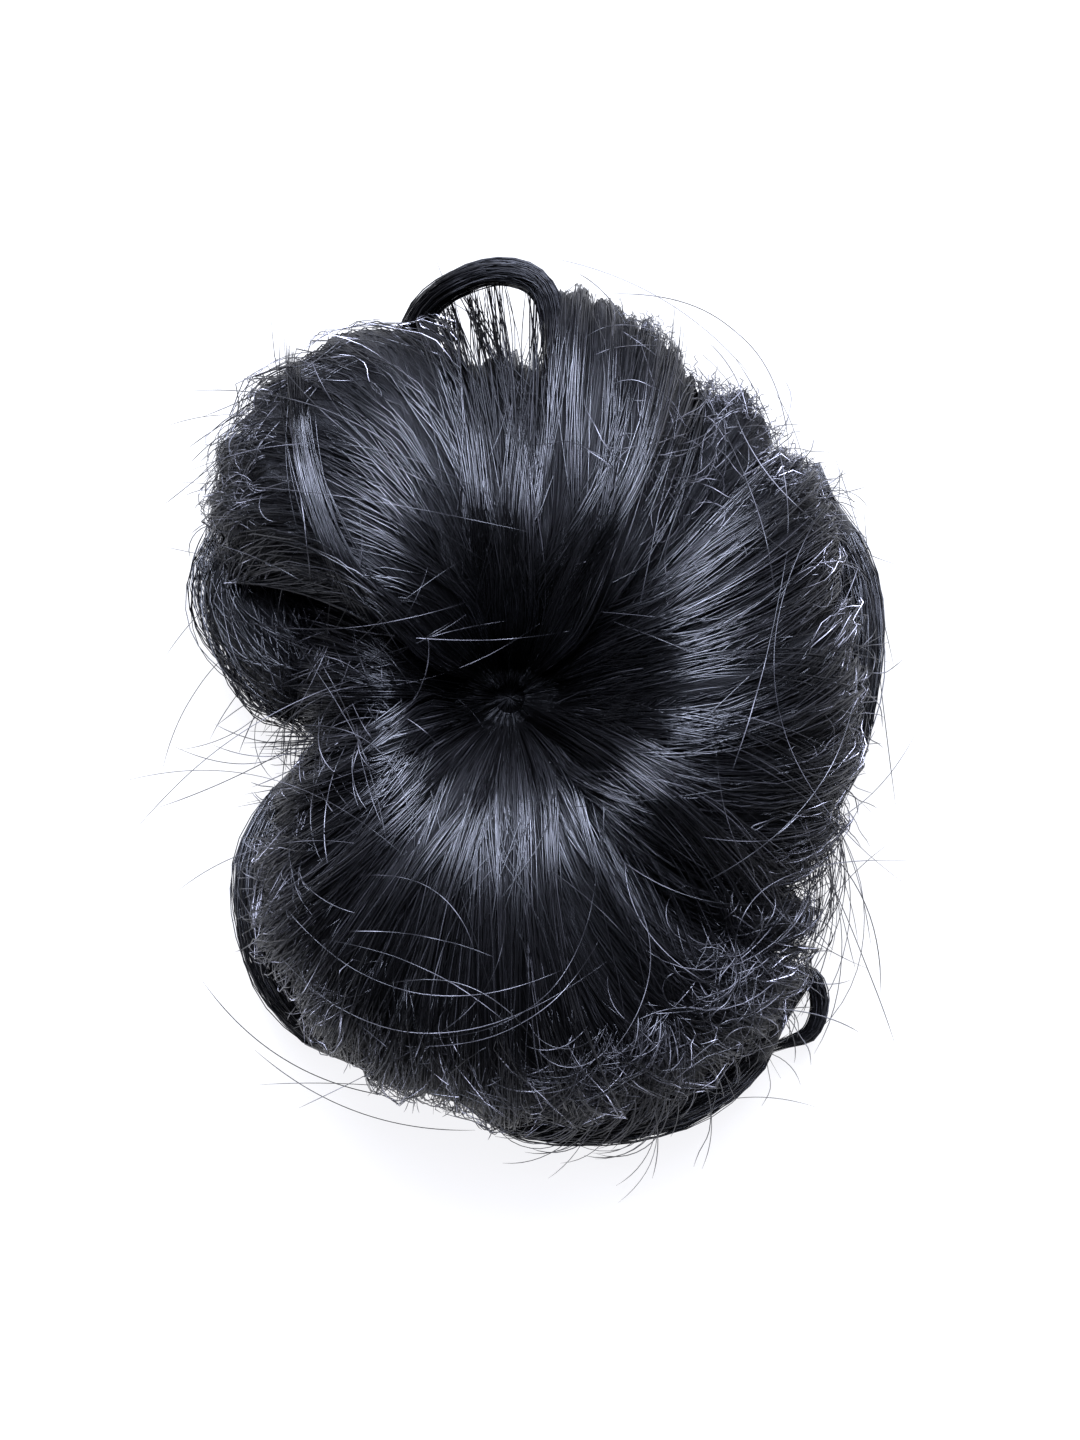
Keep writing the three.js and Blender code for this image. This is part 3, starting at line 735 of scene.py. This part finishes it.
# Each starts and ends at an angle and a distance out as a share of the rim, and bows to one side by a
# share of its length.
CROSSING = [
    (217, 0.78, 282, 0.68, -0.16), (228, 0.62, 262, 0.62, 0.1), (238, 0.72, 275, 0.78, 0.12),
    (205, 0.9, 232, 0.52, 0.1), (250, 0.9, 300, 0.6, -0.2), (262, 0.4, 255, 0.95, 0.05),
    (272, 0.55, 268, 0.8, 0.06), (285, 0.35, 292, 1.02, 0.15), (300, 0.3, 318, 0.95, -0.15),
    (330, 0.25, 322, 0.95, 0.18), (345, 0.45, 318, 1.02, -0.2), (12, 0.95, 320, 0.62, 0.2),
    (30, 0.9, 350, 0.55, 0.2), (55, 1.02, 20, 0.7, 0.18), (78, 1.0, 40, 0.98, 0.14),
    (100, 1.02, 88, 0.55, 0.12), (118, 0.98, 100, 0.55, -0.12), (135, 1.08, 118, 0.7, 0.1),
    (150, 0.95, 98, 0.45, 0.14), (158, 0.8, 190, 0.25, 0.1), (170, 0.7, 120, 0.25, -0.12),
    (172, 0.62, 60, 0.2, -0.1), (180, 0.8, 150, 0.4, 0.15), (188, 0.85, 165, 0.45, -0.2),
    (192, 0.95, 175, 0.4, 0.1), (184, 0.5, 230, 0.4, 0.2), (200, 0.45, 172, 0.75, 0.15),
    (345, 1.0, 20, 1.02, 0.1), (8, 0.98, 42, 1.0, 0.12), (300, 1.12, 330, 1.0, 0.2),
    (310, 1.15, 288, 1.1, -0.2), (255, 1.12, 225, 1.0, 0.14), (240, 1.1, 262, 0.9, 0.1),
]
# Wisps: the same, then the number of fibres, how far they spread in mm, and their height in mm.
WISPS = [
    (122, 1.0, 152, 0.35, -0.08, 64, 0.6, 3), (292, 0.05, 296, 0.85, 0.06, 16, 1.2, 1),
    (298, 0.05, 303, 0.8, 0.08, 16, 1.2, 1.5), (303, 0.05, 311, 0.86, 0.1, 16, 1.4, 2),
    (309, 0.05, 316, 0.82, 0.1, 16, 1.4, 2.5), (315, 0.05, 320, 0.88, 0.08, 16, 1.4, 2.5),
    (321, 0.05, 326, 0.85, 0.06, 16, 1.3, 2), (328, 0.06, 322, 0.8, -0.08, 14, 1.2, 2),
    (196, 0.06, 191, 0.6, 0.05, 14, 1.2, 3), (206, 0.06, 203, 0.62, 0.05, 14, 1.2, 3),
    (184, 0.08, 178, 0.5, -0.05, 14, 1.2, 3), (30, 0.3, 34, 0.9, 0.06, 12, 1.2, 3),
    (24, 0.25, 20, 0.85, -0.08, 14, 1.2, 3), (352, 0.2, 4, 0.85, 0.1, 14, 1.3, 3),
    (340, 0.2, 344, 0.85, 0.12, 14, 1.3, 3), (62, 0.3, 66, 1.0, -0.08, 14, 1.2, 3),
    (88, 0.3, 84, 0.85, 0.06, 14, 1.2, 3), (104, 0.3, 101, 0.95, -0.05, 16, 1.2, 3),
    (230, 0.2, 222, 0.85, 0.06, 14, 1.2, 2), (262, 0.15, 258, 0.9, -0.04, 14, 1.2, 2),
]


def crossing_paths(rows, steps):
    """Bowed paths over the hair, from rows of start and end angle and share, and bow."""
    share = np.linspace(0, 1, steps)[None, :, None]
    start, stop = (
        np.stack([np.cos(np.radians(angle)), np.sin(np.radians(angle))], -1) * out[:, None] * RIM
        for angle, out in ((rows[:, 0], rows[:, 1]), (rows[:, 2], rows[:, 3]))
    )
    span = stop - start
    aside = np.stack([-span[:, 1], span[:, 0]], -1) * rows[:, 4:5]
    return start[:, None] + span[:, None] * share + aside[:, None] * 4 * share * (1 - share)


rng = np.random.default_rng(1100)
rows = np.repeat(np.array(CROSSING, float), 2, axis=0)
rows = rows + rng.normal(0, 1, rows.shape) * [8, 0.06, 8, 0.06, 0.08]
height = 0.003 + rng.uniform(0, 0.0015, (len(rows), 1))
paths = laid_over(crossing_paths(rows, CROSSING_STEPS), height, CROSSING_SLOPE)
strands("crossing_strands", paths, (0.00012, 0.00018), 1101, tip_glint_fibre)

rows = np.array(WISPS, float)
rows = np.repeat(rows, rows[:, 5].astype(int), axis=0)
rows_around = rows + rng.normal(0, 1, rows.shape) * [0, 0.04, 0, 0.05, 0.006, 0, 0, 0]
plan = crossing_paths(rows_around, WISP_STEPS)
share = np.linspace(0, 1, WISP_STEPS)[None, :]
spread = rows[:, 6:7] / 1000 * rng.normal(0, 1, (len(rows), 1)) * (0.5 + share)
way = np.arctan2(plan[:, -1, 1] - plan[:, 0, 1], plan[:, -1, 0] - plan[:, 0, 0])[:, None]
plan = plan + np.stack([-np.sin(way) * spread, np.cos(way) * spread], -1)
height = rows[:, 7:8] / 1000 * np.sin(np.pi * (0.1 + 0.75 * share))
height = height + rng.uniform(0, 0.0006, (len(rows), 1))
height = height - ROOT_DIVE * np.where(rows[:, 1:2] < 0.1, np.clip(1 - share / 0.15, 0, 1), 0)
strands("crossing_wisps", laid_over(plan, height, WISP_SLOPE), (0.00014, 0.00024), 1102, loose_fibre)

# Floor, light and camera. The hairpiece lies on a bright white table under a wide soft light that leans
# in from the top of the picture.
bpy.ops.object.select_all(action="DESELECT")
bpy.ops.mesh.primitive_plane_add(size=6, location=(0, 0, -0.0002))
floor = bpy.context.object
floor.name = "white_table"
bpy.ops.object.transform_apply(location=True, rotation=False, scale=False)
table = bpy.data.materials.new("white_table")
table.use_nodes = True
table_shader = table.node_tree.nodes["Principled BSDF"]
table_shader.inputs["Base Color"].default_value = (0.07, 0.07, 0.073, 1)
table_shader.inputs["Roughness"].default_value = 0.9
table_shader.inputs["Specular IOR Level"].default_value = 0
table_shader.inputs["Emission Color"].default_value = (0.97, 0.97, 1, 1)
table_shader.inputs["Emission Strength"].default_value = 0.92
floor.data.materials.append(table)


def soft_light(name, place, size, power, colour):
    lamp = bpy.data.lights.new(name, "AREA")
    lamp.shape = "RECTANGLE"
    lamp.size, lamp.size_y = size
    lamp.energy = power
    lamp.color = colour
    holder = bpy.data.objects.new(name, lamp)
    bpy.context.collection.objects.link(holder)
    holder.location = place
    toward = -holder.location
    holder.rotation_euler = toward.to_track_quat("-Z", "Y").to_euler()
    return holder


soft_light("key_light", (0.0, 0.9, 0.85), (1.0, 1.0), 175, (0.86, 0.91, 1.0))
soft_light("top_light", (0.0, 0.36, 1.18), (1.0, 0.36), 20, (0.86, 0.91, 1.0))

world = bpy.data.worlds.new("studio")
world.use_nodes = True
world.node_tree.nodes["Background"].inputs["Color"].default_value = (0.93, 0.95, 1.0, 1)
world.node_tree.nodes["Background"].inputs["Strength"].default_value = 0.08
bpy.context.scene.world = world
bpy.context.scene.view_settings.view_transform = "Standard"

camera_data = bpy.data.cameras.new("camera")
camera_data.sensor_fit = "VERTICAL"
camera_data.sensor_height = 36
camera_data.lens = 145.3
camera = bpy.data.objects.new("camera", camera_data)
camera.location = (pit.x + 0.0048, pit.y - 0.0035, 0.95)
bpy.context.collection.objects.link(camera)
bpy.context.scene.camera = camera
